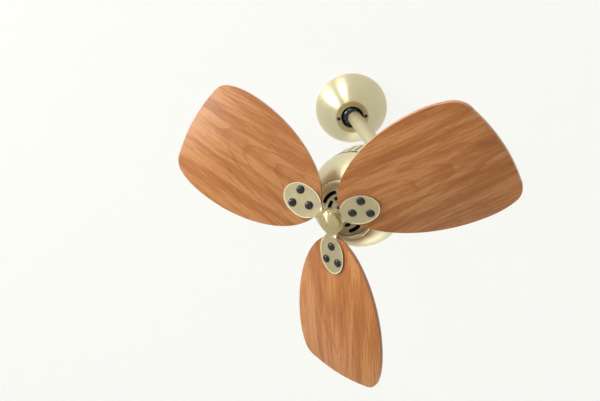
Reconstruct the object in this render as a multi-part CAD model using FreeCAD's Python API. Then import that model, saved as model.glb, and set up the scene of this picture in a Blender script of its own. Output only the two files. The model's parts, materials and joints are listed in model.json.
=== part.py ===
import FreeCAD
import Part
import math
import os

from FreeCAD import Placement, Rotation, Vector

os.makedirs("parts", exist_ok=True)

# Ceiling fan: canopy and ball hanger, leaning rod, tilt knuckle, motor head and three-blade rotor.
# The origin is the middle of the ceiling face, +Z is up, and the rod leans in the XZ plane.

# Clearances and the overrun of cuts
fit_gap = 0.05
slip_gap = 0.3
seat_gap = 0.1
overrun = 2.0

# Lean of the rod and bend of the knuckle at rest
rod_lean_deg = 13.41
knuckle_bend_deg = 40.87
ball_drop = 37.0
rod_reach = 251.0
head_reach = 223.0

# Hanger ball, liner and ceiling bracket
ball_radius = 25.5
ball_rib_count = 14
ball_rib_width = 2.6
ball_rib_depth = 1.0
ball_top_height = 17.0
ball_pin_radius = 3.0
liner_wall = 1.5
liner_top_drop = 3.0
liner_bottom_drop = 16.0
seat_wall = 2.8
seat_top_drop = 1.0
seat_bottom_drop = 16.8
bracket_end_margin = 4.0
bracket_width = 40.0
bracket_plate = 3.0
bracket_leg = 4.0
bracket_leg_width = 30.0
bracket_leg_lap = 7.0
ceiling_slot_spacing = 84.0
ceiling_slot_length = 12.0
ceiling_slot_width = 6.0

# Canopy and its collar
canopy_radius = 72.2
canopy_skirt = 7.0
canopy_wall = 1.5
canopy_bow_share = 0.12
canopy_mouth_radius = 32.4
canopy_flange_inner_radius = 23.6
collar_radius = 32.0
collar_hole_radius = 22.3
collar_thickness = 1.5
collar_screw_circle = 26.8
collar_screw_radius = 1.7
collar_screw_head_radius = 3.6
collar_screw_head_height = 2.0
collar_screw_length = 5.2
collar_screw_count = 2
collar_screw_azimuth_deg = -15.0

# Hanging rod and knuckle fork
rod_radius = 13.35
rod_wall = 2.3
rod_top_height = 23.0
fork_socket_radius = 18.0
fork_socket_depth = 30.0
fork_root_drop = 32.0
fork_web = 6.0
fork_cheek = 6.0
eye_radius = 16.0
fork_bolt_radius = 3.0
hex_sides = 6
hex_share = 1.75
hex_height_share = 1.1

# Tilt bolt, washers and neck
tilt_bolt_radius = 5.0
tilt_washer_radius = 10.5
tilt_washer_thickness = 1.6
tongue_thickness = 14.0
tongue_root = 24.0
neck_radius = 13.0
neck_flange_share = 0.556
neck_flange = 5.0
neck_shoulder_radius = 21.0
neck_shoulder = 4.0
neck_screw_count = 3
neck_screw_circle_share = 0.444
neck_screw_radius = 2.0

# Stations along the head's axis, measured up from the rotor's centre
vent_plateau_station = 34.0
bell_front_station = 42.0
stator_front_station = 76.7
stator_length = 36.0
bell_rear_station = 85.0
slit_width = 4.0
cover_top_station = 162.0

# Vent cover, bell and top cover
cover_wall = 1.5
vent_hole_radius = 10.0
vent_plateau_radius = 32.4
vent_groove_inner_radius = 33.2
vent_groove_outer_radius = 38.2
vent_crest_radius = 41.0
vent_crest_depth = 3.9
vent_radius = 43.8
vent_slot_width = 5.2
outer_slot_count = 4
outer_slot_radius = 29.2
outer_slot_deg = 46.0
outer_slot_first_deg = 33.0
inner_slot_count = 6
inner_slot_radius = 20.2
inner_slot_deg = 34.0
inner_slot_first_deg = 7.0
vent_screw_count = 3
vent_screw_circle = 35.7
vent_screw_radius = 1.6
vent_screw_head_radius = 2.3
vent_screw_head_height = 1.2
vent_screw_azimuth_deg = 15.0
bell_front_radius = 45.0
bell_flange_inner_radius = 33.0
bell_rear_radius = 70.3
bell_curve_shares = ((0.0, 0.0), (0.36, 0.12), (0.66, 0.32), (0.90, 0.64), (1.0, 1.0))
cover_curve_shares = ((1.0, 0.0), (0.995, 0.3), (0.965, 0.57), (0.84, 0.79), (0.5, 0.945), (0.0, 1.0))
louvre_count = 40
louvre_width = 2.6
louvre_start = 4.0
louvre_length = 26.0
louvre_depth = 10.0
crown_radius = 24.0
cover_screw_count = 3
cover_screw_circle = 17.2
cover_screw_radius = 1.6
cover_screw_head_radius = 3.0
cover_screw_head_height = 2.0
cover_screw_length = 5.0

# Motor
shaft_radius = 6.0
shaft_tail = 12.0
shaft_end_gap = 2.0
motor_side_gap = 13.3
shield_rim = 3.0
stator_bore_share = 0.51
stator_slot_count = 12
stator_slot_depth_share = 0.22
stator_slot_width_share = 0.13
air_gap = 0.5
winding_inner_share = 0.575
winding_outer_share = 0.78
winding_height = 11.0
shield_wall = 4.0
shield_flange = 6.0
shield_cup_share = 0.85
shield_cup_wall = 3.0
shield_lap = 6.0
shield_bay = 15.0
shield_window_count = 6
shield_window_inner_share = 0.593
shield_window_outer_share = 0.76
shield_window_deg = 34.0
shield_window_first_deg = 45.0
bush_radius = 10.0
bush_length = 14.0
bush_cup_wall = 4.0
motor_bolt_count = 4
motor_bolt_circle_share = 0.926
motor_bolt_radius = 2.0
motor_bolt_head_radius = 3.4
motor_bolt_head_height = 2.6
vent_boss_radius = 4.0
shaft_collar_radius = 11.0
shaft_collar_length = 4.0
capacitor_share = 0.139
capacitor_length = 18.0
capacitor_azimuth_deg = 45.0

# Rotor hub, spider, blades and their fasteners
blade_count = 3
blade_azimuth_deg = 197.36
blade_pitch_deg = 17.9
blade_lead = 2.4
blade_root = 22.0
blade_tip = 246.8
blade_half_width = 80.0
blade_thickness = 5.5
blade_side_shares = ((0.0, 0.0), (0.062, 0.375), (0.176, 0.637), (0.343, 0.85),
                     (0.525, 0.97), (0.69, 1.0), (0.82, 0.968), (0.908, 0.893))
blade_corner_shares = ((0.956, 0.775), (0.974, 0.625))
pad_thickness = 2.5
pad_start = 21.5
pad_tip = 77.5
pad_half_width = 21.3
pad_side_shares = ((0.0, 0.44), (0.10, 0.68), (0.27, 0.93), (0.48, 1.0), (0.72, 0.90), (0.91, 0.57))
arm_half_width = 7.6
arm_lap = 0.4
arm_sink_share = 0.1
arm_twist_share = 0.5
hub_radius = 17.0
hub_front = 2.5
hub_rear = 8.0
hub_washer_radius = 15.2
hub_washer_thickness = 1.3
nut_radius = 14.6
nut_skirt = 3.0
nut_crown = 5.0
nut_flat_radius = 2.5
blade_screw_inner = 36.8
blade_screw_outer = 58.3
blade_screw_half_spacing = 10.65
blade_screw_radius = 2.2
blade_screw_head_radius = 6.0
blade_screw_head_height = 3.6
blade_nut_radius = 6.5
blade_nut_thickness = 2.0

# Values worked out from the sizes above
up = Vector(0, 0, 1)
along_x = Vector(1, 0, 0)
along_y = Vector(0, 1, 0)
head_lean_deg = knuckle_bend_deg - rod_lean_deg
liner_inner_radius = ball_radius + slip_gap
liner_outer_radius = liner_inner_radius + liner_wall
seat_inner_radius = liner_outer_radius + slip_gap
seat_outer_radius = seat_inner_radius + seat_wall
bracket_length = ceiling_slot_spacing + ceiling_slot_length + 2 * bracket_end_margin
seat_floor = -ball_drop - seat_bottom_drop
fork_bolt_height = fork_root_drop + fork_socket_depth / 2 - rod_reach
cheek_gap = tongue_thickness + 2 * slip_gap
cheek_outer = cheek_gap / 2 + fork_cheek
stator_rear_station = stator_front_station + stator_length
shield_radius = bell_rear_radius - motor_side_gap
stator_radius = shield_radius - shield_rim
stator_bore_radius = stator_radius * stator_bore_share
winding_inner_radius = stator_radius * winding_inner_share
winding_outer_radius = stator_radius * winding_outer_share
shield_cup_radius = stator_radius * shield_cup_share
motor_bolt_circle = stator_radius * motor_bolt_circle_share
neck_flange_radius = stator_radius * neck_flange_share
neck_screw_circle = stator_radius * neck_screw_circle_share
capacitor_radius = stator_radius * capacitor_share
capacitor_circle = shield_cup_radius - capacitor_radius
front_shield_face = stator_front_station - shield_bay
rear_shield_face = stator_rear_station + shield_bay
front_bush_station = front_shield_face - shield_wall
rear_bush_station = rear_shield_face + shield_wall - bush_length
neck_flange_station = rear_shield_face + shield_wall + shaft_tail
shaft_rear_station = neck_flange_station - shaft_end_gap
shell_inner_radius = bell_rear_radius - cover_wall
bell_flange_back = bell_front_station + cover_wall
vent_groove_station = bell_front_station - cover_wall
cover_rim_station = bell_rear_station + slit_width
shoulder_top_station = cover_top_station - cover_wall
nut_back_station = -hub_front - hub_washer_thickness
shaft_front_station = nut_back_station - nut_skirt
screw_spots = ((blade_screw_inner, 0), (blade_screw_outer, blade_screw_half_spacing),
               (blade_screw_outer, -blade_screw_half_spacing))

ball_frame = Placement(Vector(0, 0, -ball_drop), Rotation(along_y, -rod_lean_deg))
knuckle_point = ball_frame.multVec(Vector(0, 0, -rod_reach))
knuckle_frame = Placement(knuckle_point, Rotation(along_y, head_lean_deg))
rotor_frame = knuckle_frame.multiply(Placement(Vector(0, 0, -head_reach), Rotation()))


def at(radius, azimuth_deg, station=0.0):
    angle = math.radians(azimuth_deg)
    return Vector(radius * math.cos(angle), radius * math.sin(angle), station)


def cylinder(radius, start, end):
    return Part.makeCylinder(radius, end - start, Vector(0, 0, start), up)


def tube(outer_radius, inner_radius, start, end):
    return cylinder(outer_radius, start, end).cut(cylinder(inner_radius, start - overrun, end + overrun))


def centred_box(length, width, start, end):
    return Part.makeBox(length, width, end - start, Vector(-length / 2, -width / 2, start))


def section(points):
    """Points of radius and station in the plane that is turned about the axis."""
    return [Vector(radius, 0, station) for radius, station in points]


def turn(edges):
    return Part.Face(Part.Wire(edges)).revolve(Vector(0, 0, 0), up, 360)


def turned_polygon(points):
    corners = section(points)
    return turn(Part.makePolygon(corners + corners[:1]).Edges)


def smooth(points):
    curve = Part.BSplineCurve()
    curve.interpolate(points)
    return curve.toShape()


def curve_between(start, end, shares):
    """Points of radius and station from start to end, at the shares of each."""
    return section([(start[0] + (end[0] - start[0]) * across, start[1] + (end[1] - start[1]) * along)
                    for across, along in shares])


def turned_sheet(outer, inner):
    """A turned shell between two runs of points, each smooth between its second point and its last."""
    edges = [Part.makeLine(outer[0], outer[1]), smooth(outer[1:]), Part.makeLine(outer[-1], inner[-1]),
             smooth(inner[:0:-1]), Part.makeLine(inner[1], inner[0]), Part.makeLine(inner[0], outer[0])]
    return turn(edges)


def cross_hole(radius, half_length, height, direction):
    """The cut for a pin that crosses the axis at a height, from side to side."""
    reach = half_length + overrun
    start = up * height - direction * reach
    return Part.makeCylinder(radius + fit_gap, 2 * reach, start, direction)


def around(shape, count, first_deg=0.0):
    copies = []
    for index in range(count):
        copy = shape.copy()
        copy.rotate(Vector(0, 0, 0), up, first_deg + index * 360.0 / count)
        copies.append(copy)
    return copies


def hexagon(radius, start, end):
    corners = [at(radius, index * 360.0 / hex_sides, start) for index in range(hex_sides)]
    face = Part.Face(Part.makePolygon(corners + corners[:1]))
    return face.extrude(up * (end - start))


def wedge(reach, arc_deg, start, end):
    """A slice of the given angle about the X direction, with its point on the axis."""
    corners = [up * start, at(reach, -arc_deg / 2, start), at(reach, arc_deg / 2, start)]
    return Part.Face(Part.makePolygon(corners + corners[:1])).extrude(up * (end - start))


def dome(radius, height, station):
    """A round screw head that stands down from its seat at the station."""
    seat_edge = Vector(radius, 0, station)
    pole = Vector(0, 0, station - height)
    bend = (radius ** 2 - height ** 2) / (2 * height)
    sphere_radius = bend + height
    half = math.asin(radius / sphere_radius) / 2
    middle = Vector(sphere_radius * math.sin(half), 0, station + bend - sphere_radius * math.cos(half))
    edges = [Part.Arc(seat_edge, middle, pole).toShape(),
             Part.makeLine(pole, Vector(0, 0, station)),
             Part.makeLine(Vector(0, 0, station), seat_edge)]
    return turn(edges)


def write(node, shapes, frame=None):
    solids = []
    for shape in shapes:
        solids.extend(shape.Solids)
    result = solids[0] if len(solids) == 1 else Part.makeCompound(solids)
    if frame is not None:
        result = result.copy()
        result.Placement = frame.multiply(result.Placement)
    result.exportStep("parts/" + node + ".step")


def ball_zone(radius, top_drop, bottom_drop):
    ball = Part.makeSphere(radius)
    slab = cylinder(radius + overrun, -bottom_drop, -top_drop)
    return ball.common(slab)


def make_ceiling_bracket():
    plate = centred_box(bracket_length, bracket_width, -bracket_plate, 0)
    end = ceiling_slot_length / 2 - ceiling_slot_width / 2
    for side in (-1, 1):
        middle = Vector(side * ceiling_slot_spacing / 2, 0, 0)
        slot = centred_box(2 * end, ceiling_slot_width, -bracket_plate - overrun, overrun)
        for tip in (-end, end):
            hole = cylinder(ceiling_slot_width / 2, -bracket_plate - overrun, overrun)
            slot = slot.fuse(hole.translated(Vector(tip, 0, 0)))
        plate = plate.cut(slot.translated(middle))
    seat = cylinder(seat_outer_radius, -seat_bottom_drop, -seat_top_drop)
    seat = seat.cut(Part.makeSphere(seat_inner_radius))
    seat.translate(Vector(0, 0, -ball_drop))
    entry = Part.makeBox(2 * (rod_radius + slip_gap), seat_outer_radius + overrun, seat_bottom_drop + overrun,
                         Vector(-rod_radius - slip_gap, 0, seat_floor - overrun))
    bracket = plate.fuse(seat.cut(entry))
    for side in (-1, 1):
        leg = centred_box(bracket_leg, bracket_leg_width, seat_floor + seat_bottom_drop - bracket_leg_lap, 0)
        reach = seat_outer_radius - bracket_leg / 2
        leg.translate(Vector(side * reach, 0, 0))
        bore = Part.makeSphere(seat_inner_radius, Vector(0, 0, -ball_drop))
        bracket = bracket.fuse(leg.cut(bore))
    bore = cylinder(collar_screw_radius + fit_gap, seat_floor - overrun, seat_floor + collar_screw_length)
    bores = around(bore.translated(at(collar_screw_circle, 0)), collar_screw_count, collar_screw_azimuth_deg)
    return bracket.cut(bores).removeSplitter()


def make_canopy():
    flange_top = seat_floor
    flange_bottom = flange_top - canopy_wall
    skirt_edge = Vector(canopy_radius, 0, -canopy_skirt)
    mouth_edge = Vector(canopy_mouth_radius, 0, flange_bottom)
    bow = Vector((canopy_radius + canopy_mouth_radius) / 2, 0, (flange_bottom - canopy_skirt) / 2)
    chord = Vector(canopy_radius - canopy_mouth_radius, 0, flange_bottom + canopy_skirt)
    bow = bow + chord * canopy_bow_share
    shift = Vector(-canopy_wall, 0, canopy_wall)
    inner_mouth = mouth_edge + shift
    edges = [Part.makeLine(Vector(canopy_radius, 0, 0), skirt_edge),
             Part.Arc(skirt_edge, bow, mouth_edge).toShape()]
    corners = section([(canopy_mouth_radius, flange_bottom), (canopy_flange_inner_radius, flange_bottom),
                       (canopy_flange_inner_radius, flange_top), (inner_mouth.x, flange_top)])
    edges += Part.makePolygon(corners).Edges
    inner_skirt = skirt_edge + shift
    edges += [Part.Arc(inner_mouth, bow + shift, inner_skirt).toShape(),
              Part.makeLine(inner_skirt, Vector(inner_skirt.x, 0, 0)),
              Part.makeLine(Vector(inner_skirt.x, 0, 0), Vector(canopy_radius, 0, 0))]
    return bolt_holes(turn(edges), collar_screw_radius, collar_screw_circle, collar_screw_count,
                      flange_bottom, flange_top, collar_screw_azimuth_deg)


def make_collar_and_screws():
    top = seat_floor - canopy_wall
    bottom = top - collar_thickness
    collar = bolt_holes(tube(collar_radius, collar_hole_radius, bottom, top), collar_screw_radius,
                        collar_screw_circle, collar_screw_count, bottom, top, collar_screw_azimuth_deg)
    screw = dome(collar_screw_head_radius, collar_screw_head_height, bottom)
    screw = screw.fuse(cylinder(collar_screw_radius, bottom, bottom + collar_screw_length))
    screw = screw.translated(at(collar_screw_circle, 0))
    return collar, around(screw, collar_screw_count, collar_screw_azimuth_deg)


def make_liner():
    ring = ball_zone(liner_outer_radius, liner_top_drop, liner_bottom_drop)
    return ring.cut(Part.makeSphere(liner_inner_radius))


def make_ball():
    ball = Part.makeSphere(ball_radius)
    ball = ball.cut(cylinder(ball_radius, ball_top_height, ball_radius + overrun))
    core = Part.makeSphere(ball_radius - ball_rib_depth)
    groove = Part.makeBox(ball_radius, ball_rib_width, 2 * ball_radius,
                          Vector(0, -ball_rib_width / 2, -ball_radius)).cut(core)
    grooves = around(groove, ball_rib_count)
    ball = ball.cut(Part.makeCompound(grooves))
    ball = ball.cut(cylinder(rod_radius + seat_gap, -ball_radius - overrun, ball_radius + overrun))
    return ball.cut(cross_hole(ball_pin_radius, ball_radius, 0, along_y))


def make_ball_pin():
    half = ball_radius - ball_rib_depth - seat_gap
    return Part.makeCylinder(ball_pin_radius, 2 * half, Vector(0, -half, 0), along_y)


def make_rod():
    rod = tube(rod_radius, rod_radius - rod_wall, fork_root_drop - rod_reach, rod_top_height)
    rod = rod.cut(cross_hole(ball_pin_radius, rod_radius, 0, along_y))
    return rod.cut(cross_hole(fork_bolt_radius, rod_radius, fork_bolt_height, along_x))


def make_fork():
    """A socket for the rod over two cheeks that hold the tilt bolt."""
    root = fork_root_drop - rod_reach
    socket = tube(fork_socket_radius, rod_radius + seat_gap, root, root + fork_socket_depth)
    base = cylinder(fork_socket_radius, root - fork_web, root)
    fork = socket.fuse(base)
    for side in (-1, 1):
        start = Vector(0, side * cheek_gap / 2, -rod_reach)
        eye = Part.makeCylinder(eye_radius, fork_cheek, start, along_y * side)
        low = min(side * cheek_gap / 2, side * cheek_outer)
        cheek = Part.makeBox(2 * eye_radius, fork_cheek, fork_root_drop,
                             Vector(-eye_radius, low, -rod_reach))
        fork = fork.fuse(eye.fuse(cheek))
    fork = fork.cut(cross_hole(tilt_bolt_radius, cheek_outer, -rod_reach, along_y))
    fork = fork.cut(cross_hole(fork_bolt_radius, fork_socket_radius, fork_bolt_height, along_x))
    return fork.removeSplitter()


def make_bolt(radius, half_grip, turned):
    """A hexagon bolt and its nut over a grip that is centred on the origin, along the turned axis."""
    head = hex_share * radius
    height = hex_height_share * radius
    end = half_grip + height
    bolt = hexagon(head, -end, -half_grip).fuse(cylinder(radius, -half_grip, end))
    nut = hexagon(head, half_grip, end).cut(cylinder(radius + fit_gap, half_grip - overrun, end + overrun))
    return [piece.transformGeometry(turned.toMatrix()) for piece in (bolt, nut)]


def make_tilt_hardware():
    turned = Placement(Vector(0, 0, -rod_reach), Rotation(along_x, 90))
    half_grip = cheek_outer + tilt_washer_thickness
    bolt, nut = make_bolt(tilt_bolt_radius, half_grip, turned)
    washers = []
    for side in (-1, 1):
        start = Vector(0, side * cheek_outer, -rod_reach)
        disc = Part.makeCylinder(tilt_washer_radius, tilt_washer_thickness, start, along_y * side)
        bore = Part.makeCylinder(tilt_bolt_radius + fit_gap, tilt_washer_thickness, start, along_y * side)
        washers.append(disc.cut(bore))
    return bolt, nut, washers


def make_neck():
    """The tongue of the knuckle, its stem and the flange that carries the motor."""
    stem = cylinder(neck_radius, neck_flange_station, head_reach - tongue_root)
    flange = cylinder(neck_flange_radius, neck_flange_station, neck_flange_station + neck_flange)
    shoulder = cylinder(neck_shoulder_radius, shoulder_top_station - neck_shoulder, shoulder_top_station)
    tongue = centred_box(2 * neck_radius, tongue_thickness, head_reach - tongue_root - overrun, head_reach)
    side = Vector(0, -tongue_thickness / 2, head_reach)
    eye = Part.makeCylinder(neck_radius, tongue_thickness, side, along_y)
    neck = stem.fuse([flange, shoulder, tongue, eye])
    neck = neck.cut(cross_hole(tilt_bolt_radius, tongue_thickness / 2, head_reach, along_y))
    neck = bolt_holes(neck, neck_screw_radius, neck_screw_circle, neck_screw_count,
                      neck_flange_station, neck_flange_station + neck_flange)
    return bolt_holes(neck, cover_screw_radius, cover_screw_circle, cover_screw_count,
                      shoulder_top_station - cover_screw_length, shoulder_top_station).removeSplitter()


def make_neck_screws():
    seat = neck_flange_station + neck_flange
    head = cylinder(2 * neck_screw_radius, seat, seat + neck_screw_radius)
    shank = cylinder(neck_screw_radius, neck_flange_station - shaft_tail / 2, seat)
    return around(head.fuse(shank).translated(at(neck_screw_circle, 0)), neck_screw_count)


def make_vent_cover():
    """A pressed disc: a flat plateau with two rings of arc slots, a groove and a rolled rim."""
    front = section([(vent_hole_radius, vent_plateau_station), (vent_plateau_radius, vent_plateau_station),
                     (vent_groove_inner_radius, vent_groove_station),
                     (vent_groove_outer_radius, vent_groove_station)])
    back = [point + up * cover_wall for point in front]
    crest = Vector(vent_crest_radius, 0, vent_plateau_station + vent_crest_depth)
    lip = Vector(vent_radius, 0, vent_groove_station)
    under_lip = lip + (up - along_x) * cover_wall
    back[-1] += along_x * cover_wall
    edges = Part.makePolygon(front).Edges
    edges += [Part.Arc(front[-1], crest, lip).toShape(), Part.makeLine(lip, under_lip),
              Part.Arc(under_lip, crest + up * cover_wall, back[-1]).toShape()]
    edges += Part.makePolygon(back[::-1] + front[:1]).Edges
    cover = turn(edges)
    outer_slot = arc_slot(outer_slot_radius, outer_slot_deg)
    cover = cover.cut(Part.makeCompound(around(outer_slot, outer_slot_count, outer_slot_first_deg)))
    inner_slot = arc_slot(inner_slot_radius, inner_slot_deg)
    cover = cover.cut(Part.makeCompound(around(inner_slot, inner_slot_count, inner_slot_first_deg)))
    return bolt_holes(cover, vent_screw_radius, vent_screw_circle, vent_screw_count,
                      vent_plateau_station, bell_front_station, vent_screw_azimuth_deg)


def arc_slot(ring_radius, arc_deg):
    half = vent_slot_width / 2
    base = vent_plateau_station - overrun
    height = cover_wall + 2 * overrun
    ring = tube(ring_radius + half, ring_radius - half, base, base + height)
    slot = ring.common(wedge(2 * ring_radius, arc_deg, base, base + height))
    for end in (-arc_deg / 2, arc_deg / 2):
        slot = slot.fuse(cylinder(half, base, base + height).translated(at(ring_radius, end)))
    return slot


def make_vent_screws():
    seat = vent_groove_station
    head = cylinder(vent_screw_head_radius, seat - vent_screw_head_height, seat)
    shank = cylinder(vent_screw_radius, seat, front_shield_face)
    screw = head.fuse(shank).translated(at(vent_screw_circle, 0))
    return around(screw, vent_screw_count, vent_screw_azimuth_deg)


def make_bell():
    outer = section([(bell_flange_inner_radius, bell_front_station)])
    outer += curve_between((bell_front_radius, bell_front_station), (bell_rear_radius, bell_rear_station),
                           bell_curve_shares)
    inner = section([(bell_flange_inner_radius, bell_flange_back)])
    inner += curve_between((bell_front_radius, bell_flange_back), (shell_inner_radius, bell_rear_station),
                           bell_curve_shares)
    return bolt_holes(turned_sheet(outer, inner), vent_screw_radius, vent_screw_circle, vent_screw_count,
                      bell_front_station, bell_flange_back, vent_screw_azimuth_deg)


def make_top_cover():
    hole_radius = neck_radius + slip_gap
    outer = section([(hole_radius, cover_top_station)])
    outer += curve_between((crown_radius, cover_rim_station), (bell_rear_radius, cover_top_station),
                           cover_curve_shares)[::-1]
    inner = section([(hole_radius, shoulder_top_station)])
    inner += curve_between((crown_radius, cover_rim_station), (shell_inner_radius, shoulder_top_station),
                           cover_curve_shares)[::-1]
    cover = turned_sheet(outer, inner)
    start = cover_rim_station + louvre_start
    slot = Part.makeBox(louvre_depth, louvre_width, louvre_length,
                        Vector(bell_rear_radius - louvre_depth, -louvre_width / 2, start))
    cover = cover.cut(Part.makeCompound(around(slot, louvre_count)))
    return bolt_holes(cover, cover_screw_radius, cover_screw_circle, cover_screw_count,
                      shoulder_top_station, cover_top_station)


def make_cover_screws():
    head = cylinder(cover_screw_head_radius, cover_top_station, cover_top_station + cover_screw_head_height)
    tail = shoulder_top_station - cover_screw_length + seat_gap
    shank = cylinder(cover_screw_radius, tail, cover_top_station)
    return around(head.fuse(shank).translated(at(cover_screw_circle, 0)), cover_screw_count)


def make_shield(side):
    """An end shield: cup, bush seat and a flange that laps the stator; side -1 is in front."""
    face = front_shield_face if side < 0 else rear_shield_face
    stack = stator_front_station if side < 0 else stator_rear_station
    outer = face + side * shield_wall
    flange = stack + side * shield_flange
    lap = stack - side * shield_lap
    cup_inner = shield_cup_radius - shield_cup_wall
    fit_radius = stator_radius + seat_gap
    shield = turned_polygon([(0, face), (cup_inner, face), (cup_inner, stack), (fit_radius, stack),
                             (fit_radius, lap), (shield_radius, lap), (shield_radius, flange),
                             (shield_cup_radius, flange), (shield_cup_radius, outer), (0, outer)])
    bush_start = front_bush_station if side < 0 else rear_bush_station
    bush_end = bush_start + bush_length
    shield = shield.fuse(cylinder(bush_radius + bush_cup_wall, bush_start, bush_end))
    shield = shield.cut(cylinder(bush_radius + fit_gap, bush_start - overrun, bush_end + overrun))
    window = shield_window(min(face, outer), max(face, outer))
    return shield.cut(around(window, shield_window_count, shield_window_first_deg))


def shield_window(low, high):
    base = low - overrun
    top = high + overrun
    window_radius = stator_radius * shield_window_outer_share
    ring = tube(window_radius, stator_radius * shield_window_inner_share, base, top)
    return ring.common(wedge(2 * window_radius, shield_window_deg, base, top))


def bolt_holes(shape, radius, circle, count, low, high, first_deg=0.0):
    hole = cylinder(radius + fit_gap, low - overrun, high + overrun)
    return shape.cut(around(hole.translated(at(circle, 0)), count, first_deg))


def make_front_shield():
    shield = make_shield(-1)
    boss = cylinder(vent_boss_radius, bell_flange_back, front_shield_face)
    shield = shield.fuse(around(boss.translated(at(vent_screw_circle, 0)), vent_screw_count,
                                vent_screw_azimuth_deg))
    shield = bolt_holes(shield, vent_screw_radius, vent_screw_circle, vent_screw_count,
                        bell_flange_back, front_shield_face, vent_screw_azimuth_deg)
    return bolt_holes(shield, motor_bolt_radius, motor_bolt_circle, motor_bolt_count,
                      stator_front_station - shield_flange, stator_front_station)


def make_rear_shield():
    shield = make_shield(1)
    outer = rear_shield_face + shield_wall
    seat = tube(neck_flange_radius, neck_screw_circle - 2 * neck_screw_radius, outer, neck_flange_station)
    shield = shield.fuse(seat)
    shield = bolt_holes(shield, neck_screw_radius, neck_screw_circle, neck_screw_count,
                        neck_flange_station - shaft_tail / 2, neck_flange_station)
    return bolt_holes(shield, motor_bolt_radius, motor_bolt_circle, motor_bolt_count,
                      stator_rear_station, stator_rear_station + shield_flange)


def make_motor_bolts():
    low = stator_front_station - shield_flange
    high = stator_rear_station + shield_flange
    shank = cylinder(motor_bolt_radius, low, high)
    head = cylinder(motor_bolt_head_radius, low - motor_bolt_head_height, low)
    nut = cylinder(motor_bolt_head_radius, high, high + motor_bolt_head_height)
    return around(shank.fuse([head, nut]).translated(at(motor_bolt_circle, 0)), motor_bolt_count)


def make_stator():
    core = tube(stator_radius, stator_bore_radius, stator_front_station, stator_rear_station)
    slot_width = stator_radius * stator_slot_width_share
    slot = Part.makeBox(stator_radius * stator_slot_depth_share, slot_width, stator_length + 2 * overrun,
                        Vector(winding_inner_radius, -slot_width / 2, stator_front_station - overrun))
    core = core.cut(around(slot, stator_slot_count, 180.0 / stator_slot_count))
    return bolt_holes(core, motor_bolt_radius, motor_bolt_circle, motor_bolt_count,
                      stator_front_station, stator_rear_station)


def make_windings():
    front = tube(winding_outer_radius, winding_inner_radius, stator_front_station - winding_height,
                 stator_front_station)
    rear = tube(winding_outer_radius, winding_inner_radius, stator_rear_station,
                stator_rear_station + winding_height)
    return [front, rear]


def make_bush(start):
    return tube(bush_radius, shaft_radius + fit_gap, start, start + bush_length)


def make_capacitor():
    base = rear_shield_face + shield_wall
    can = cylinder(capacitor_radius, base, base + capacitor_length)
    return can.translated(at(capacitor_circle, capacitor_azimuth_deg))


def make_shaft():
    return cylinder(shaft_radius, shaft_front_station, shaft_rear_station)


def make_rotor_core():
    radius = stator_bore_radius - air_gap
    return tube(radius, shaft_radius + fit_gap, stator_front_station, stator_rear_station)


def make_shaft_collars():
    front = front_bush_station + bush_length + slip_gap
    rear = rear_bush_station - slip_gap
    low = tube(shaft_collar_radius, shaft_radius + fit_gap, front, front + shaft_collar_length)
    high = tube(shaft_collar_radius, shaft_radius + fit_gap, rear - shaft_collar_length, rear)
    return [low, high]


def pitched(shape):
    copy = shape.copy()
    copy.rotate(Vector(0, 0, 0), along_x, blade_pitch_deg)
    return copy


def make_blade():
    """A broad leaf of board whose front face lies in the pitched plane."""
    length = blade_tip - blade_root

    def spot(share, side):
        along, across = share
        return Vector(blade_root + length * along, side * blade_half_width * across - blade_lead, 0)

    upper = [spot(share, 1) for share in blade_side_shares]
    lower = [spot(share, -1) for share in blade_side_shares[1:]]
    sides = smooth(upper[::-1] + lower)
    corners = []
    for side in (1, -1):
        start = spot(blade_side_shares[-1], side)
        middle, end = [spot(share, side) for share in blade_corner_shares]
        corners.append(Part.Arc(start, middle, end).toShape())
    tip = Part.Arc(spot(blade_corner_shares[-1], 1), Vector(blade_tip, -blade_lead, 0),
                   spot(blade_corner_shares[-1], -1)).toShape()
    outline = Part.Wire(Part.__sortEdges__([sides, corners[0], tip, corners[1]]))
    blade = Part.Face(outline).extrude(up * blade_thickness)
    for spot_x, spot_y in screw_spots:
        hole = cylinder(blade_screw_radius + fit_gap, -overrun, blade_thickness + overrun)
        blade = blade.cut(hole.translated(Vector(spot_x, spot_y, 0)))
    return pitched(blade)


def make_pad():
    upper = [Vector(pad_start + (pad_tip - pad_start) * along, pad_half_width * across, 0)
             for along, across in pad_side_shares]
    lower = [Vector(point.x, -point.y, 0) for point in upper[::-1]]
    edge = smooth(upper + [Vector(pad_tip, 0, 0)] + lower)
    face = Part.Face(Part.Wire([edge, Part.makeLine(lower[-1], upper[0])]))
    pad = face.extrude(up * -pad_thickness)
    for spot_x, spot_y in screw_spots:
        hole = cylinder(blade_screw_radius + fit_gap, -pad_thickness - overrun, overrun)
        pad = pad.cut(hole.translated(Vector(spot_x, spot_y, 0)))
    return pitched(pad)


def arm_section(station, half_width, twist_share, bottom, top):
    corners = [Vector(station, -half_width, bottom), Vector(station, half_width, bottom),
               Vector(station, half_width, top), Vector(station, -half_width, top)]
    wire = Part.makePolygon(corners + corners[:1])
    wire.rotate(Vector(0, 0, 0), along_x, blade_pitch_deg * twist_share)
    return wire


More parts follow.
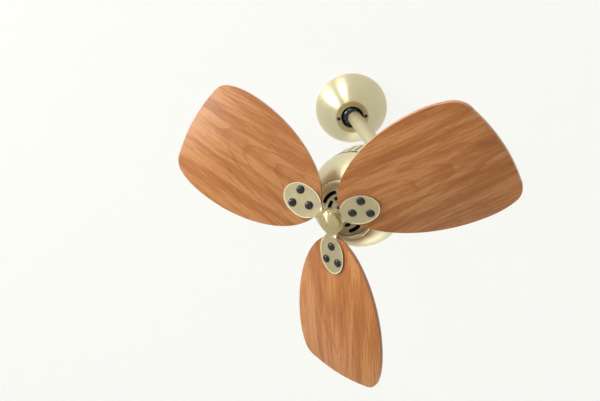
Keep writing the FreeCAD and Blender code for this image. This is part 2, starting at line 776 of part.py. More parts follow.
def make_spider():
    """One casting: a hub and three twisted arms that end in leaf pads."""
    pad = make_pad()
    sunk = pad_thickness * arm_sink_share
    pad_neck = pad_half_width * pad_side_shares[0][1]
    inner = arm_section(hub_radius / 2, arm_half_width, 0.0, sunk - hub_front, hub_rear / 2)
    edge = arm_section(hub_radius - sunk, arm_half_width, 0.0, sunk - hub_front, hub_rear / 2)
    middle = arm_section((hub_radius + pad_start) / 2, arm_half_width, arm_twist_share, sunk - pad_thickness,
                         hub_front / 2)
    outer = arm_section(pad_start + arm_lap, pad_neck, 1.0, sunk - pad_thickness, -sunk)
    arm = Part.makeLoft([inner, edge, middle, outer], True, True)
    spider = cylinder(hub_radius, -hub_front, hub_rear)
    spider = spider.fuse(around(arm.fuse(pad), blade_count, blade_azimuth_deg))
    bore = cylinder(shaft_radius + fit_gap, -hub_front - overrun, hub_rear + overrun)
    return spider.cut(bore).removeSplitter()


def make_blade_fasteners():
    screws = []
    nuts = []
    for spot_x, spot_y in screw_spots:
        spot = Vector(spot_x, spot_y, 0)
        head = dome(blade_screw_head_radius, blade_screw_head_height, -pad_thickness)
        end = blade_thickness + blade_nut_thickness
        screw = head.fuse(cylinder(blade_screw_radius, -pad_thickness, end))
        screws += around(pitched(screw.translated(spot)), blade_count, blade_azimuth_deg)
        nut = tube(blade_nut_radius, blade_screw_radius + fit_gap, blade_thickness, end)
        nuts += around(pitched(nut.translated(spot)), blade_count, blade_azimuth_deg)
    return screws, nuts


def make_hub_nut():
    back = nut_back_station
    front = back - nut_skirt - nut_crown
    nut = turned_polygon([(0, back), (nut_radius, back), (nut_radius, back - nut_skirt),
                          (nut_flat_radius, front), (0, front)])
    return nut.cut(cylinder(shaft_radius + fit_gap, shaft_front_station - seat_gap, back + overrun))


def build():
    write("ceiling_bracket", [make_ceiling_bracket()])
    write("canopy", [make_canopy()])
    collar, collar_screws = make_collar_and_screws()
    write("canopy_collar", [collar])
    write("collar_screws", collar_screws)
    write("ball_seat_liner", [make_liner()], Placement(Vector(0, 0, -ball_drop), Rotation()))

    write("hanger_ball", [make_ball()], ball_frame)
    write("ball_pin", [make_ball_pin()], ball_frame)
    write("down_rod", [make_rod()], ball_frame)
    write("knuckle_fork", [make_fork()], ball_frame)
    across_rod = Placement(Vector(0, 0, fork_bolt_height), Rotation(along_y, 90))
    fork_bolt, fork_nut = make_bolt(fork_bolt_radius, fork_socket_radius, across_rod)
    write("fork_bolt", [fork_bolt], ball_frame)
    write("fork_nut", [fork_nut], ball_frame)
    tilt_bolt, tilt_nut, tilt_washers = make_tilt_hardware()
    write("tilt_bolt", [tilt_bolt], ball_frame)
    write("tilt_nut", [tilt_nut], ball_frame)
    write("tilt_washers", tilt_washers, ball_frame)

    write("tilt_neck", [make_neck()], rotor_frame)
    write("neck_screws", make_neck_screws(), rotor_frame)
    write("top_cover", [make_top_cover()], rotor_frame)
    write("top_cover_screws", make_cover_screws(), rotor_frame)
    write("bell_housing", [make_bell()], rotor_frame)
    write("vent_cover", [make_vent_cover()], rotor_frame)
    write("vent_cover_screws", make_vent_screws(), rotor_frame)
    write("front_shield", [make_front_shield()], rotor_frame)
    write("rear_shield", [make_rear_shield()], rotor_frame)
    write("motor_bolts", make_motor_bolts(), rotor_frame)
    write("stator_core", [make_stator()], rotor_frame)
    write("stator_windings", make_windings(), rotor_frame)
    write("front_bush", [make_bush(front_bush_station)], rotor_frame)
    write("rear_bush", [make_bush(rear_bush_station)], rotor_frame)
    write("capacitor", [make_capacitor()], rotor_frame)

    write("rotor_shaft", [make_shaft()], rotor_frame)
    write("rotor_core", [make_rotor_core()], rotor_frame)
    write("shaft_collars", make_shaft_collars(), rotor_frame)
    write("blade_spider", [make_spider()], rotor_frame)
    for index, blade in enumerate(around(make_blade(), blade_count, blade_azimuth_deg)):
        write("blade_" + str(index + 1), [blade], rotor_frame)
    blade_screws, blade_nuts = make_blade_fasteners()
    write("blade_screws", blade_screws, rotor_frame)
    write("blade_nuts", blade_nuts, rotor_frame)
    washer = tube(hub_washer_radius, shaft_radius + fit_gap, nut_back_station, -hub_front)
    write("hub_washer", [washer], rotor_frame)
    write("hub_nut", [make_hub_nut()], rotor_frame)


build()
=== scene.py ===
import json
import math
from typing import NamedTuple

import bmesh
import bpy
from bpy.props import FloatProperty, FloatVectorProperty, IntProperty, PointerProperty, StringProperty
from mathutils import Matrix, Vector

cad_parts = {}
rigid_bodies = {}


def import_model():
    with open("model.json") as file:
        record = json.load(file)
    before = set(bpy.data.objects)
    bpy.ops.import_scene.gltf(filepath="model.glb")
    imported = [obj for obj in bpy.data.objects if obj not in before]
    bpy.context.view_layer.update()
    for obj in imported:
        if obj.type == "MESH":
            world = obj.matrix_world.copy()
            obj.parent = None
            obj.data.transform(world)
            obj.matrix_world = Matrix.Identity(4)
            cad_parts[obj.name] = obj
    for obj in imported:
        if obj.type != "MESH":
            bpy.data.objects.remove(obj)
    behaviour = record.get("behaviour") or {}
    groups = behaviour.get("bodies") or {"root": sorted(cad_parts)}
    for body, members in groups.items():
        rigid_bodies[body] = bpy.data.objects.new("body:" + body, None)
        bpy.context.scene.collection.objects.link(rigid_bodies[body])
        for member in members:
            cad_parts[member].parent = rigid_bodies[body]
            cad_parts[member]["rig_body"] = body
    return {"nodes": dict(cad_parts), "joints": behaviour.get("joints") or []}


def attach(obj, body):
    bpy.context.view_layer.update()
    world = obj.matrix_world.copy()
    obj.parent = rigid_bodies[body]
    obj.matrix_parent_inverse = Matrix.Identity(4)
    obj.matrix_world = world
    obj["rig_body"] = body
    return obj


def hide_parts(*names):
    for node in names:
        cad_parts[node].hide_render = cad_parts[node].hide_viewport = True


bl_info = {
    "name": "Tilting ceiling fan",
    "version": (1, 0, 0),
    "blender": (4, 5, 0),
    "location": "View3D > Sidebar > Fan",
    "description": "Dresses a small ceiling fan with spun brass, walnut blades and dark screws",
    "category": "Object",
}

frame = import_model()

MM = 0.001

# Places and directions of the joints, and the slots of the nodes
JOINTS = {joint["name"]: joint for joint in frame["joints"]}
HEAD_AXIS = Vector(JOINTS["rotor_spin"]["axis"]).normalized()
ROTOR_CENTRE = Vector(JOINTS["rotor_spin"]["pos_m"])
BALL_CENTRE = Vector(JOINTS["ball_swing_lean"]["pos_m"])
KNUCKLE = Vector(JOINTS["head_tilt"]["pos_m"])
ROD_AXIS = (BALL_CENTRE - KNUCKLE).normalized()
UP = Vector((0.0, 0.0, 1.0))
BLADES = ("blade_1", "blade_2", "blade_3")

# Limits and counts for work on the meshes
MERGE_DISTANCE = 0.001 * MM  # points closer than this are one point
LEVEL = 0.01 * MM  # faces whose planes are closer than this are level
FLAT_ANGLE = math.radians(0.5)  # faces that meet at less than this become one
SHARP_EDGE = 0.0  # the rounding of a piece whose edges stay as they are
ROUND_PROFILE = 0.5  # the bevel's setting for a round edge
MOST_CORNERS = 4  # faces with more corners are cut into triangles
SECOND_SLOT = 1  # the slot of a piece's second finish
PAD_AREA = 400 * MM * MM  # a leaf pad's lower face is larger than this
LOOKS_DOWN = -0.9  # the part of a normal along the head's axis below which a face looks down
# faces that look in further than this are painted black as shade
LOOKS_INWARD = -0.15  # the part of a normal along the way out of the head below which a face looks in
AREA_DIGITS = 9  # areas in square metres that agree to this many digits are alike
EDGE_ON = 0.5  # a blade's faces with less than this along its own normal are its edge
TAIL_SHARE = 0.97  # points further than this share of the way to a screw's tail are on it
DOME_SEGMENTS = 28
DOME_RINGS = 18
DOME_FOOT = -0.001  # what lies below this on a ball of radius 1 is cut off
SHANK_SIDES = 16
HALF_DOWN = -0.5  # half a shank's length, towards its tail
RAMP_MIDDLE = 0.5  # where a colour ramp gets its third stop at first

# How the patterns lie on the pieces
BRUSH_MAP = "brush"
BRUSH_RADIUS = 50 * MM  # turns round an axis are measured as arcs at this radius
GRAIN_MAP = "grain"
GRAIN_SHIFT = 700 * MM  # from one blade's grain to the next one's, along
GRAIN_SLIP = 9 * MM  # the same, across

# The sRGB curve
HEX = 16
BYTE = 255
SRGB_KNEE = 0.04045
SRGB_SLOPE = 12.92
SRGB_OFFSET = 0.055
SRGB_POWER = 2.4

# Sockets of the colour mix, whose names are shared by other types of mix
MIX_FIRST = 6
MIX_SECOND = 7
MIX_RESULT = 2


class Streaks(NamedTuple):
    """Stretched marks: their sizes along a map's two ways, in metres, and how they break up."""

    along: float
    across: float
    detail: float
    breaking: float


class Tones(NamedTuple):
    """A finish's darkest and lightest tones, as shares of its colour, and the pattern's values there."""

    dark_at: float
    dark: float
    light_at: float
    light: float


class Relief(NamedTuple):
    """A finish's fine relief: its strength and its depth in metres."""

    strength: float
    depth: float


class SpunFinish(NamedTuple):
    """A spun finish: its colour's name, roughness, stretch of highlights and weight of clouds."""

    colour: str
    roughness: float
    stretch: float
    clouding: float


class PlainFinish(NamedTuple):
    """A plain finish: its colour's name, metallic share, roughness and size of grain in metres."""

    colour: str
    metallic: float
    roughness: float
    grain: float


class Lamp(NamedTuple):
    """A soft square lamp: its place, the length of its side and its power in watts."""

    place: tuple
    side: float
    power: float


class ScrewLine(NamedTuple):
    """The middle of a screw's tail, the way that its head points and its length."""

    tail: Vector
    heading: Vector
    length: float


# Brush lines of spun brass are drawn coarser than the real 0.1 mm, so that they show
BRUSH_LINES = Streaks(along=40 * MM, across=0.4 * MM, detail=3.0, breaking=0.6)
SPUN_TONES = Tones(dark_at=0.35, dark=0.86, light_at=0.95, light=1.08)
SPUN_SMOOTHER = 0.05  # how far the roughness goes below its mean
SPUN_ROUGHER = 0.07  # how far it goes above
SPUN_RELIEF = Relief(strength=0.06, depth=0.1 * MM)
SPUN_CLOUD = 35.7 * MM
SPUN_DETAIL = 3.0
SPUN_METALLIC = 0.85
ACROSS_LINES = 0.25  # a quarter turn, which spreads the highlights across the brush lines
CLOUDY = 0.35  # the clouds' weight beside the brush lines
CLEAR = 0.1

# Satin casting: broad clouds and a fine grain
CAST_TONES = Tones(dark_at=0.3, dark=0.9, light_at=0.75, light=1.05)
CAST_SMOOTH = 0.3
CAST_ROUGH = 0.42
CAST_RELIEF = Relief(strength=0.08, depth=0.1 * MM)
CAST_CLOUD = 16.67 * MM
CAST_CLOUD_DETAIL = 4.0
CAST_GRAIN = 0.7143 * MM
CAST_GRAIN_DETAIL = 2.0
CAST_METALLIC = 1.0

# Drawing lines run along the rod, so their short side is the one round its axis
ROD_LINES = Streaks(along=1.111 * MM, across=83.33 * MM, detail=3.0, breaking=0.6)
ROD_TONES = Tones(dark_at=0.3, dark=0.94, light_at=0.8, light=1.03)
ROD_METALLIC = 0.55
ROD_ROUGHNESS = 0.48

# Plain finishes share their range of tone and gloss
PLAIN_TONES = Tones(dark_at=0.3, dark=0.85, light_at=0.75, light=1.1)
PLAIN_SMOOTHER = 0.04
PLAIN_ROUGHER = 0.06
PLAIN_DETAIL = 3.0

# Walnut: broad streaks, bands, fibres and pores, all long along the blade
WALNUT_STREAKS = Streaks(along=200 * MM, across=18.18 * MM, detail=4.0, breaking=0.55)
WALNUT_BANDS = Streaks(along=71.43 * MM, across=3.846 * MM, detail=3.0, breaking=0.55)
WALNUT_FIBRES = Streaks(along=25 * MM, across=0.7143 * MM, detail=2.0, breaking=0.55)
WALNUT_PORES = Streaks(along=11.11 * MM, across=0.9091 * MM, detail=1.0, breaking=0.55)
RING_WANDER = Streaks(along=125 * MM, across=41.67 * MM, detail=2.0, breaking=0.55)
RING_GAP = 60 * MM  # from one arch to the next, down the middle of a blade
RING_SWAY = 150 * MM  # how far the noise moves the rings
ARCH_RADIUS = 5.5 * MM  # how tightly a ring's arch bends at its tip
LATE_WOOD = 4.0  # the higher, the narrower the dark line that ends a ring
RING_WEIGHT = -0.13  # the weights of rings, bands and fibres beside the streaks
BAND_WEIGHT = 0.45
FIBRE_WEIGHT = 0.45
WALNUT_STOPS = (0.66, 0.9, 1.0)  # where the figure is dark, mid and light
PORE_FROM = 0.56  # noise above this begins to be a pore
PORE_TO = 0.72  # and above this is wholly one
PORE_SHARE = 0.4  # how much of a pore's colour shows
PORE_TONE = 0.6  # that colour, as a share of the dark walnut
WALNUT_SMOOTH = 0.36
WALNUT_ROUGH = 0.52
WALNUT_RELIEF = Relief(strength=0.1, depth=0.2 * MM)
WALNUT_SPECULAR = 0.35

# The canopy's and the nut's highlights are stretched most, and the vent cover is duller than the rest
SPUN_FINISHES = {
    "spun_brass_canopy": SpunFinish("brass", 0.36, 0.85, CLOUDY),
    # the collar's darker brass is painted shade for its recess
    "spun_brass_collar": SpunFinish("collar", 0.36, 0.5, CLOUDY),
    "spun_brass_bell_housing": SpunFinish("brass", 0.36, 0.55, CLOUDY),
    "spun_brass_top_cover": SpunFinish("brass", 0.36, 0.55, CLOUDY),
    "spun_brass_vent_cover": SpunFinish("brass", 0.48, 0.55, CLOUDY),
    "turned_brass_nut": SpunFinish("nut", 0.27, 0.9, CLEAR),
}

# The line before a finish says what it gives the eye. The grains are drawn coarse, so that they show
PLAIN_FINISHES = {
    # Pressed steel under zinc: grey, half dull
    "zinc_plated_steel": PlainFinish("zinc", 1.0, 0.4, 3.333 * MM),
    # Moulded nylon: dark and dull
    "dark_nylon_liner": PlainFinish("liner", 0.0, 0.45, 2.0 * MM),
    # Moulded nylon, polished: black with small sharp lights on its ribs
    "black_nylon": PlainFinish("nylon", 0.0, 0.12, 2.5 * MM),
    # Black nickel on steel: a dark mirror, slightly blurred
    "black_nickel_bolts": PlainFinish("nickel", 0.8, 0.3, 2.0 * MM),
    # The same on small heads: a sharper light
    "black_nickel_collar_screws": PlainFinish("nickel", 0.75, 0.2, 2.0 * MM),
    # Oxide on steel, waxed: nearly black domes with one small light each
    "black_oxide_screws": PlainFinish("nickel", 0.4, 0.2, 2.0 * MM),
    # Turned steel: light grey and fairly bright
    "bright_steel": PlainFinish("steel", 1.0, 0.3, 3.333 * MM),
    # Painted shade inside the covers and on the rims in the slit: flat black that stands in for the dark
    # inside of the head, so that slots and slit look deep
    "painted_shade_inside": PlainFinish("inside_shade", 0.0, 0.6, 3.333 * MM),
    # Aluminium as cast: dull mid grey
    "bare_aluminium_casting": PlainFinish("aluminium", 1.0, 0.5, 4.0 * MM),
    # Stacked sheets, lacquered: dark grey with a soft sheen
    "lacquered_laminations": PlainFinish("laminations", 0.6, 0.5, 1.667 * MM),
    # Copper wire under enamel: deep red-brown shine
    "enamelled_copper": PlainFinish("copper", 0.9, 0.35, 1.111 * MM),
    # Pressed bronze powder: dull brown gold
    "sintered_bronze": PlainFinish("bronze", 1.0, 0.45, 1.429 * MM),
    # Moulded case: black, half dull
    "black_capacitor_case": PlainFinish("capacitor", 0.0, 0.4, 3.333 * MM),
    # Zinc on small screws: mid grey, fairly bright
    "zinc_screws": PlainFinish("screws", 1.0, 0.35, 2.5 * MM),
    # Painted highlight on the raised rims: a pale, bright line that stands in for the light that the pads'
    # edges catch
    "rim_painted_highlight": PlainFinish("rim", 0.5, 0.3, 3.333 * MM),
    # Ground steel: bright grey
    "ground_shaft_steel": PlainFinish("shaft", 1.0, 0.25, 3.333 * MM),
    # Foil round the blade's edge: smoother and paler than the faces
    "walnut_edge_band": PlainFinish("walnut_edge", 0.0, 0.3, 4.545 * MM),
}

# The stage
LAMPS = {
    "left_window": Lamp((-2.5, -0.7, -0.75), 0.9, 51.0),
    "far_window": Lamp((-1.4, -2.1, -0.85), 0.7, 27.0),
    "near_wall": Lamp((1.0, 2.4, -0.6), 1.6, 11.0),
    "room": Lamp((-0.4, 0.3, -2.3), 2.6, 1.0),
}
LAMP_TARGET = Vector((0.0, 0.0, -0.3))
CEILING_HALF = 6.0
CEILING_GAP = 0.5 * MM  # keeps the ceiling clear of the canopy's rim
CEILING_GLOW = 0.86  # the share of plain white in what is seen of the paint, beside its shaded part
FLOOR_HALF = 40.0
FLOOR_GLOW = 0.8
PAINT_ROUGHNESS = 0.9
ROOM_STRENGTH = 0.28  # how strongly the room lights the fan
SEEN_STRENGTH = 1.0  # how bright it looks behind the fan and in its metal


def length(name, description, millimetres):
    """A length that a user can change, with its default in millimetres."""
    return FloatProperty(name=name, description=description, default=millimetres * MM, unit="LENGTH")


def tint(name, description, hex_colour):
    """A colour that a user can change, as an sRGB hex value."""
    return StringProperty(name=name, description=description, default=hex_colour)


class FanSizes(bpy.types.PropertyGroup):
    """Sizes of the softened edges, the rims and the screws"""

    blade_edge: length("Blade edge", "Rounding of the blades' edges", 0.9)
    casting_edge: length("Casting edge", "Rounding of the knuckle's edges", 0.8)
    sheet_edge: length("Sheet edge", "Rounding of edges on the covers, ball, rod, bolts and nuts", 0.35)
    rim_width: length("Rim width", "Width of the rim round a leaf pad", 1.2)
    rim_height: length("Rim height", "How far a leaf pad's rim stands up", 0.25)
    pad_start: length("Pad start", "From the rotor's axis to where the leaf pads begin", 25.0)
    # from this distance outwards the pads' rims take the pale painted highlight
    rim_start: length("Rim start", "From the rotor's axis to where the highlighting begins", 29.0)
    screw_radius: length("Screw radius", "Radius of a blade screw's head", 6.0)
    screw_height: length("Screw height", "Height of a blade screw's head", 3.6)
    shank_radius: length("Shank radius", "Radius of a blade screw's shank", 2.2)
    edge_steps: IntProperty(name="Edge steps", description="Faces across a rounded edge", default=2)
    crease_angle: FloatProperty(name="Crease angle", description="Edges sharper than this are rounded",
                                default=math.radians(32.0), subtype="ANGLE")


class FanColours(bpy.types.PropertyGroup):
    """Colours as sRGB hex values"""

    brass: tint("Brass", "Pale satin brass plate", "#DCD3AE")
    # darker than the canopy's brass: painted shade for the collar's recess
    collar: tint("Collar", "Darkened brass of the canopy's collar", "#B8AA80")
    rod: tint("Rod", "Lacquered rod", "#BDB391")
    casting: tint("Casting", "Satin brass of the spider and knuckle", "#C3B893")
    # pale colour painted on the leaf pads' rims as a highlight along their edges
    rim: tint("Rim", "Highlighted rims of the leaf pads", "#F0E8CB")
    nut: tint("Nut", "Turned brass of the hub nut", "#BFB283")
    walnut_light: tint("Light walnut", "Light bands of the blades", "#B77E4C")
    walnut_mid: tint("Mid walnut", "Body colour of the blades", "#A76936")
    walnut_dark: tint("Dark walnut", "Dark bands of the blades", "#8F562B")
    walnut_edge: tint("Blade edge", "Edge band of the blades", "#B98058")
    nickel: tint("Black nickel", "Dark bolts, nuts and screws", "#2B2729")
    nylon: tint("Black nylon", "Hanger ball", "#151516")
    liner: tint("Dark nylon", "Liner of the ball's seat", "#2B2B2C")
    zinc: tint("Zinc", "Ceiling bracket", "#9A9A98")
    steel: tint("Steel", "Washers and pin", "#A3A29E")
    # black painted on the covers' inner faces and the slit's rims, as shade for the dark inside of the
    # head
    inside_shade: tint("Inside_shade", "Inside of the covers", "#0E0E0E")
    aluminium: tint("Aluminium", "Motor shields", "#6E6E6C")
    laminations: tint("Laminations", "Stator core", "#2B2A29")
    copper: tint("Copper", "Stator windings", "#8A4420")
    bronze: tint("Bronze", "Shaft bushes", "#8C6A3E")
    capacitor: tint("Capacitor", "Capacitor's case", "#1B1B1C")
    screws: tint("Screws", "Screws and bolts inside the head", "#8E8E8A")
    shaft: tint("Shaft", "Shaft, rotor core, collars and blade nuts", "#9C9B97")
    ceiling: tint("Ceiling", "Backdrop above the fan", "#FCFCF8")
    floor: tint("Floor", "Pale floor", "#F1F0EB")


class FanView(bpy.types.PropertyGroup):
    """Camera and stage"""

    camera_place: FloatVectorProperty(name="Camera place", description="Where the camera stands",
                                      default=(-0.1102, -0.3832, -1.1563), subtype="TRANSLATION")
    camera_turn: FloatVectorProperty(name="Camera turn", description="Which way the camera looks",
                                     default=[math.radians(turn) for turn in (152.143, -2.314, -7.605)],
                                     subtype="EULER")
    lens: FloatProperty(name="Lens", description="Focal length on a 36 mm sensor, in mm",
                        default=35.18, unit="CAMERA")
    floor_drop: length("Floor drop", "From the ceiling down to the floor", 2400.0)


def sizes():
    """The sizes that the scene holds."""
    return bpy.context.scene.fan_sizes


def colours():
    """The colours that the scene holds."""
    return bpy.context.scene.fan_colours


def linear(hex_colour):
    """An sRGB hex colour as linear red, green, blue and alpha."""
    channels = [int(hex_colour[start:start + 2], HEX) / BYTE for start in (1, 3, 5)]
    return [value / SRGB_SLOPE if value <= SRGB_KNEE
            else ((value + SRGB_OFFSET) / (1 + SRGB_OFFSET)) ** SRGB_POWER
            for value in channels] + [1.0]


def named_colour(name):
    """One of the scene's colours as linear red, green, blue and alpha."""
    return linear(getattr(colours(), name))


def shade(colour, factor):
    """A colour made darker or lighter."""
    return [min(1.0, channel * factor) for channel in colour[:3]] + [1.0]


def add_node(tree, kind, settings=None, inputs=None):
    """Adds a node, sets its properties and fills its inputs with values or with links from sockets."""
    node = tree.nodes.new(kind)
    for name, value in (settings or {}).items():
        setattr(node, name, value)
    for key, value in (inputs or {}).items():
        if isinstance(value, bpy.types.NodeSocket):
            tree.links.new(value, node.inputs[key])
        else:
            node.inputs[key].default_value = value
    return node


def new_material(name):
    """A material with nothing but a shader, and its tree and shader."""
    material = bpy.data.materials.new(name)
    material.use_nodes = True
    tree = material.node_tree
    tree.nodes.clear()
    shader = add_node(tree, "ShaderNodeBsdfPrincipled")
    add_node(tree, "ShaderNodeOutputMaterial", inputs={"Surface": shader.outputs["BSDF"]})
    return material, tree, shader


def set_stops(elements, stops):
    """Gives a colour ramp its places and colours."""
    while len(elements) < len(stops):
        elements.new(RAMP_MIDDLE)
    for element, (place, colour) in zip(elements, stops):
        element.position = place
        element.color = colour


def vary_tone(tree, shader, colour, pattern, tones):
    """Lets a finish's colour go from dark to light with a pattern."""
    toned = add_node(tree, "ShaderNodeValToRGB", inputs={"Fac": pattern})
    set_stops(toned.color_ramp.elements, (
        (tones.dark_at, shade(colour, tones.dark)), (tones.light_at, shade(colour, tones.light))))
    tree.links.new(toned.outputs["Color"], shader.inputs["Base Color"])


def vary_gloss(tree, shader, pattern, smooth, rough):
    """Lets a finish's roughness go from smooth to rough with a pattern."""
    varied = add_node(tree, "ShaderNodeMapRange", inputs={
        "Value": pattern, "To Min": smooth, "To Max": rough})
    tree.links.new(varied.outputs["Result"], shader.inputs["Roughness"])


def emboss(tree, shader, pattern, relief):
    """Raises a finish a little with a pattern."""
    bump = add_node(tree, "ShaderNodeBump", inputs={
        "Height": pattern, "Strength": relief.strength, "Distance": relief.depth})
    tree.links.new(bump.outputs["Normal"], shader.inputs["Normal"])


def stretched(tree, uv_map, streaks):
    """Noise in marks of the given sizes along and across a piece's own map."""
    place = add_node(tree, "ShaderNodeUVMap", {"uv_map": uv_map}).outputs["UV"]
    scaled = add_node(tree, "ShaderNodeMapping", inputs={
        "Vector": place, "Scale": (1 / streaks.along, 1 / streaks.across, 1.0)})
    return add_node(tree, "ShaderNodeTexNoise", inputs={
        "Vector": scaled.outputs["Vector"], "Scale": 1.0,
        "Detail": streaks.detail, "Roughness": streaks.breaking}).outputs["Fac"]


def mottled(tree, size, detail):
    """Noise in round marks of the given size."""
    place = add_node(tree, "ShaderNodeTexCoord").outputs["Object"]
    return add_node(tree, "ShaderNodeTexNoise", inputs={
        "Vector": place, "Scale": 1 / size, "Detail": detail}).outputs["Fac"]


def spun_brass(name):
    """Brass plate on sheet steel, spun and brushed round its axis: streaks of light from the middle."""
    finish = SPUN_FINISHES[name]
    material, tree, shader = new_material(name)
    lines = stretched(tree, BRUSH_MAP, BRUSH_LINES)
    clouds = mottled(tree, SPUN_CLOUD, SPUN_DETAIL)
    mixed = add_node(tree, "ShaderNodeMath", {"operation": "MULTIPLY_ADD"},
                     {0: clouds, 1: finish.clouding, 2: lines})
    vary_tone(tree, shader, named_colour(finish.colour), mixed.outputs["Value"], SPUN_TONES)
    vary_gloss(tree, shader, lines, finish.roughness - SPUN_SMOOTHER, finish.roughness + SPUN_ROUGHER)
    emboss(tree, shader, lines, SPUN_RELIEF)
    tangent = add_node(tree, "ShaderNodeTangent", {"direction_type": "UV_MAP", "uv_map": BRUSH_MAP})
    tree.links.new(tangent.outputs["Tangent"], shader.inputs["Tangent"])
    shader.inputs["Metallic"].default_value = SPUN_METALLIC
    shader.inputs["Anisotropic"].default_value = finish.stretch
    shader.inputs["Anisotropic Rotation"].default_value = ACROSS_LINES
    return material


def cast_brass():
    """Zinc die casting with satin brass plate: a soft, even sheen with faint clouds."""
    name = "satin_brass_casting"
    if name in bpy.data.materials:
        return bpy.data.materials[name]
    material, tree, shader = new_material(name)
    clouds = mottled(tree, CAST_CLOUD, CAST_CLOUD_DETAIL)
    vary_tone(tree, shader, named_colour("casting"), clouds, CAST_TONES)
    vary_gloss(tree, shader, clouds, CAST_SMOOTH, CAST_ROUGH)
    emboss(tree, shader, mottled(tree, CAST_GRAIN, CAST_GRAIN_DETAIL), CAST_RELIEF)
    shader.inputs["Metallic"].default_value = CAST_METALLIC
    return material


def lacquered_rod():
    """Drawn steel tube, lacquered a satin brass colour: a broad, soft highlight and little mirror."""
    material, tree, shader = new_material("lacquered_rod")
    vary_tone(tree, shader, named_colour("rod"), stretched(tree, BRUSH_MAP, ROD_LINES), ROD_TONES)
    shader.inputs["Metallic"].default_value = ROD_METALLIC
    shader.inputs["Roughness"].default_value = ROD_ROUGHNESS
    return material


def plain(name):
    """A moulded, plated or cast finish with slight changes of tone and gloss."""
    finish = PLAIN_FINISHES[name]
    material, tree, shader = new_material(name)
    grain = mottled(tree, finish.grain, PLAIN_DETAIL)
    vary_tone(tree, shader, named_colour(finish.colour), grain, PLAIN_TONES)
    vary_gloss(tree, shader, grain, finish.roughness - PLAIN_SMOOTHER, finish.roughness + PLAIN_ROUGHER)
    shader.inputs["Metallic"].default_value = finish.metallic
    return material


def growth_rings(tree):
    """Rings cut flat: arches down the middle that close up to fine lines at the sides."""
    place = add_node(tree, "ShaderNodeUVMap", {"uv_map": GRAIN_MAP}).outputs["UV"]
    parts = add_node(tree, "ShaderNodeSeparateXYZ", inputs={"Vector": place}).outputs
    squared = add_node(tree, "ShaderNodeMath", {"operation": "POWER"}, {0: parts["Y"], 1: 2.0})
    arch = add_node(tree, "ShaderNodeMath", {"operation": "MULTIPLY_ADD"}, {
        0: squared.outputs["Value"], 1: 1 / (2 * ARCH_RADIUS), 2: parts["X"]})
    swayed = add_node(tree, "ShaderNodeMath", {"operation": "MULTIPLY_ADD"}, {
        0: stretched(tree, GRAIN_MAP, RING_WANDER), 1: RING_SWAY, 2: arch.outputs["Value"]})
    rings = add_node(tree, "ShaderNodeMath", {"operation": "MULTIPLY"}, {
        0: swayed.outputs["Value"], 1: 1 / RING_GAP})
    through = add_node(tree, "ShaderNodeMath", {"operation": "FRACT"}, {0: rings.outputs["Value"]})
    return add_node(tree, "ShaderNodeMath", {"operation": "POWER"}, {
        0: through.outputs["Value"], 1: LATE_WOOD}).outputs["Value"]


def walnut_laminate():
    """Walnut foil on board: straight grain with a cathedral figure, short dark pores and a satin face."""
    material, tree, shader = new_material("walnut_blade")
    tones = [named_colour(name) for name in ("walnut_dark", "walnut_mid", "walnut_light")]
    fibres = stretched(tree, GRAIN_MAP, WALNUT_FIBRES)
    figure = stretched(tree, GRAIN_MAP, WALNUT_STREAKS)
    marks = ((growth_rings(tree), RING_WEIGHT),
             (stretched(tree, GRAIN_MAP, WALNUT_BANDS), BAND_WEIGHT),
             (fibres, FIBRE_WEIGHT))
    for pattern, weight in marks:
        figure = add_node(tree, "ShaderNodeMath", {"operation": "MULTIPLY_ADD"}, {
            0: pattern, 1: weight, 2: figure}).outputs["Value"]
    toned = add_node(tree, "ShaderNodeValToRGB", inputs={"Fac": figure})
    set_stops(toned.color_ramp.elements, tuple(zip(WALNUT_STOPS, tones)))
    pores = add_node(tree, "ShaderNodeMapRange", inputs={
        "Value": stretched(tree, GRAIN_MAP, WALNUT_PORES),
        "From Min": PORE_FROM, "From Max": PORE_TO, "To Min": 0.0, "To Max": PORE_SHARE})
    flecked = add_node(tree, "ShaderNodeMix", {"data_type": "RGBA"}, {
        "Factor": pores.outputs["Result"],
        MIX_FIRST: toned.outputs["Color"], MIX_SECOND: shade(tones[0], PORE_TONE)})
    tree.links.new(flecked.outputs[MIX_RESULT], shader.inputs["Base Color"])
    vary_gloss(tree, shader, fibres, WALNUT_SMOOTH, WALNUT_ROUGH)
    emboss(tree, shader, figure, WALNUT_RELIEF)
    shader.inputs["Specular IOR Level"].default_value = WALNUT_SPECULAR
    return material


def brush_map(mesh, centre, axis):
    """A UV map in metres: round the axis, then along the profile."""
    side = axis.orthogonal().normalized()
    other = axis.cross(side)
    layer = mesh.uv_layers.new(name=BRUSH_MAP)
    for polygon in mesh.polygons:
        middle = polygon.center - centre
        middle_angle = math.atan2(middle.dot(other), middle.dot(side))
        for loop in polygon.loop_indices:
            spot = mesh.vertices[mesh.loops[loop].vertex_index].co - centre
            flat = spot - axis * spot.dot(axis)
            radius = flat.length
            angle = middle_angle
            if radius > MERGE_DISTANCE:
                angle = math.atan2(flat.dot(other), flat.dot(side))
            while angle - middle_angle > math.pi:
                angle -= 2 * math.pi
            while angle - middle_angle < -math.pi:
                angle += 2 * math.pi
            layer.data[loop].uv = (angle * BRUSH_RADIUS, radius + spot.dot(axis))


def broad_face(mesh):
    """The normal of a blade's largest face, and where the two sides are alike, of the upper one."""
    return max(mesh.polygons, key=lambda polygon: (
        round(polygon.area, AREA_DIGITS), polygon.normal.dot(HEAD_AXIS))).normal


